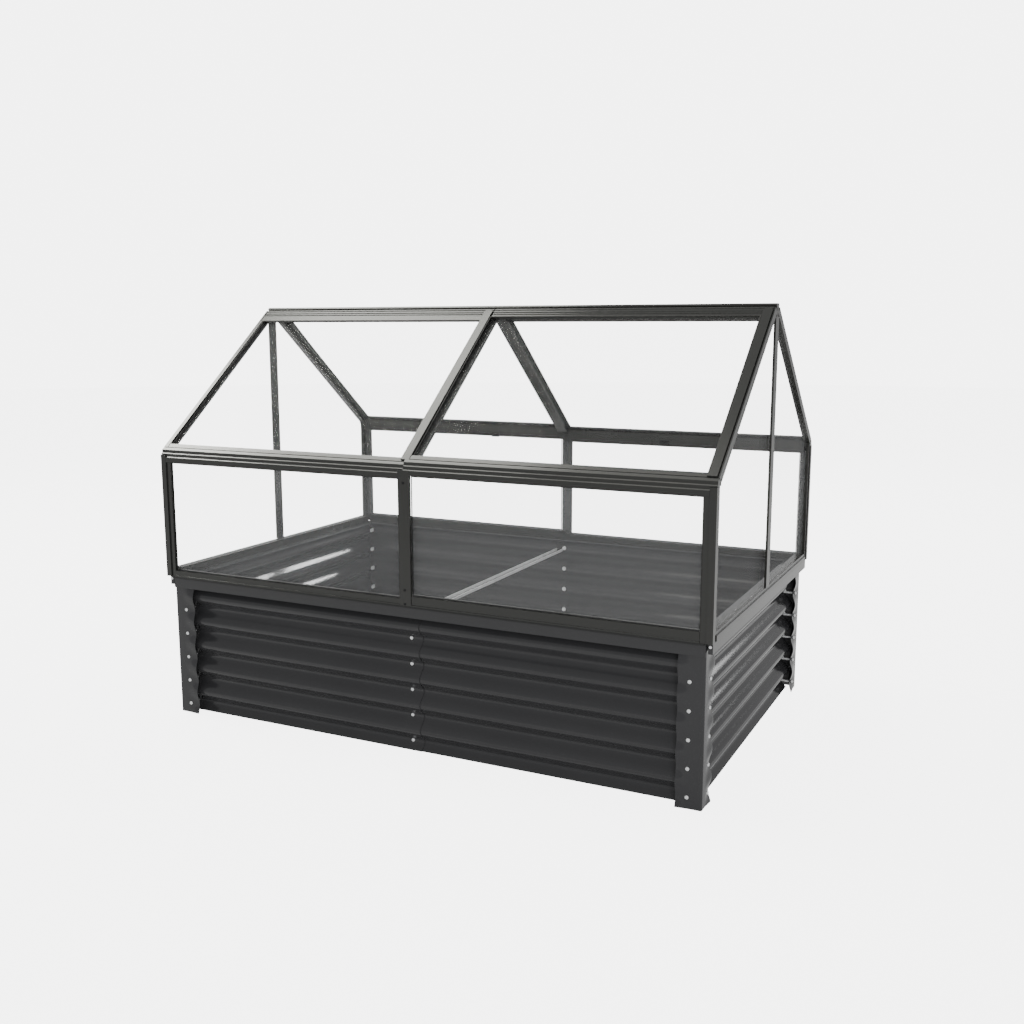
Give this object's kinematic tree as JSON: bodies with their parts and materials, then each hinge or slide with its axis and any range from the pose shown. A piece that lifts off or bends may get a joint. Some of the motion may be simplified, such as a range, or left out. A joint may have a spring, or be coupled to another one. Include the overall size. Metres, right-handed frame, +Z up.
{
  "type": "cold frame",
  "caption": "Corrugated steel raised bed with a glazed gable top, whose roof lids hinge upwards at the ridge.",
  "frame": {"origin": "on the ground, under the middle of the bed", "axes": "+X along the length to the right seen from the front, +Y from front to rear, +Z up"},
  "size_m": [1.228, 0.79, 0.8936],
  "materials": {
    "bed_steel": "satin charcoal powder coat",
    "frame_aluminium": "semi-gloss charcoal powder coat on aluminium extrusion",
    "glazing": "clear smooth",
    "galvanised": "bright zinc"
  },
  "bodies": {
    "frame": {"front_left_panel": "bed_steel", "front_right_panel": "bed_steel", "left_end_panel": "bed_steel", "bed_post_front_left": "bed_steel", "bed_post_front_right": "bed_steel", "rim_front": "bed_steel", "rim_left": "bed_steel", "sill_front": "frame_aluminium", "sill_left": "frame_aluminium", "corner_post_front_left": "frame_aluminium", "corner_post_front_right": "frame_aluminium", "centre_post_front": "frame_aluminium", "gable_mullion_left": "frame_aluminium", "eave_beam_front_left": "frame_aluminium", "eave_beam_front_right": "frame_aluminium", "end_rafter_front_left": "frame_aluminium", "end_rafter_front_right": "frame_aluminium", "centre_rafter_front": "frame_aluminium", "wall_pane_front_left": "glazing", "wall_pane_front_right": "glazing", "gable_pane_left": "glazing", "rear_right_panel": "bed_steel", "rear_left_panel": "bed_steel", "right_end_panel": "bed_steel", "bed_post_rear_right": "bed_steel", "bed_post_rear_left": "bed_steel", "rim_rear": "bed_steel", "rim_right": "bed_steel", "sill_rear": "frame_aluminium", "sill_right": "frame_aluminium", "corner_post_rear_right": "frame_aluminium", "corner_post_rear_left": "frame_aluminium", "centre_post_rear": "frame_aluminium", "gable_mullion_right": "frame_aluminium", "eave_beam_rear_right": "frame_aluminium", "eave_beam_rear_left": "frame_aluminium", "end_rafter_rear_right": "frame_aluminium", "end_rafter_rear_left": "frame_aluminium", "centre_rafter_rear": "frame_aluminium", "wall_pane_rear_right": "glazing", "wall_pane_rear_left": "glazing", "gable_pane_right": "glazing", "tie_brace": "galvanised", "ridge_beam": "frame_aluminium"},
    "lid_front_left": {"lid_front_left_top_rail": "frame_aluminium", "lid_front_left_bottom_rail": "frame_aluminium", "lid_front_left_stile": "frame_aluminium", "lid_front_left_pane": "glazing"},
    "lid_front_right": {"lid_front_right_top_rail": "frame_aluminium", "lid_front_right_bottom_rail": "frame_aluminium", "lid_front_right_stile": "frame_aluminium", "lid_front_right_pane": "glazing"},
    "lid_rear_right": {"lid_rear_right_top_rail": "frame_aluminium", "lid_rear_right_bottom_rail": "frame_aluminium", "lid_rear_right_stile": "frame_aluminium", "lid_rear_right_pane": "glazing"},
    "lid_rear_left": {"lid_rear_left_top_rail": "frame_aluminium", "lid_rear_left_bottom_rail": "frame_aluminium", "lid_rear_left_stile": "frame_aluminium", "lid_rear_left_pane": "glazing"}
  },
  "joints": [
    {"name": "lid_front_left_hinge", "type": "hinge", "parent": "frame", "child": "lid_front_left", "pos_m": [-0.3048, -0.01144, 0.88508], "axis": [-1, 0, 0], "range_deg": [0, 65]},
    {"name": "lid_front_right_hinge", "type": "hinge", "parent": "frame", "child": "lid_front_right", "pos_m": [0.3048, -0.01144, 0.88508], "axis": [-1, 0, 0], "range_deg": [0, 65]},
    {"name": "lid_rear_right_hinge", "type": "hinge", "parent": "frame", "child": "lid_rear_right", "pos_m": [0.3048, 0.01144, 0.88508], "axis": [1, 0, 0], "range_deg": [0, 65]},
    {"name": "lid_rear_left_hinge", "type": "hinge", "parent": "frame", "child": "lid_rear_left", "pos_m": [-0.3048, 0.01144, 0.88508], "axis": [1, 0, 0], "range_deg": [0, 65]}
  ]
}
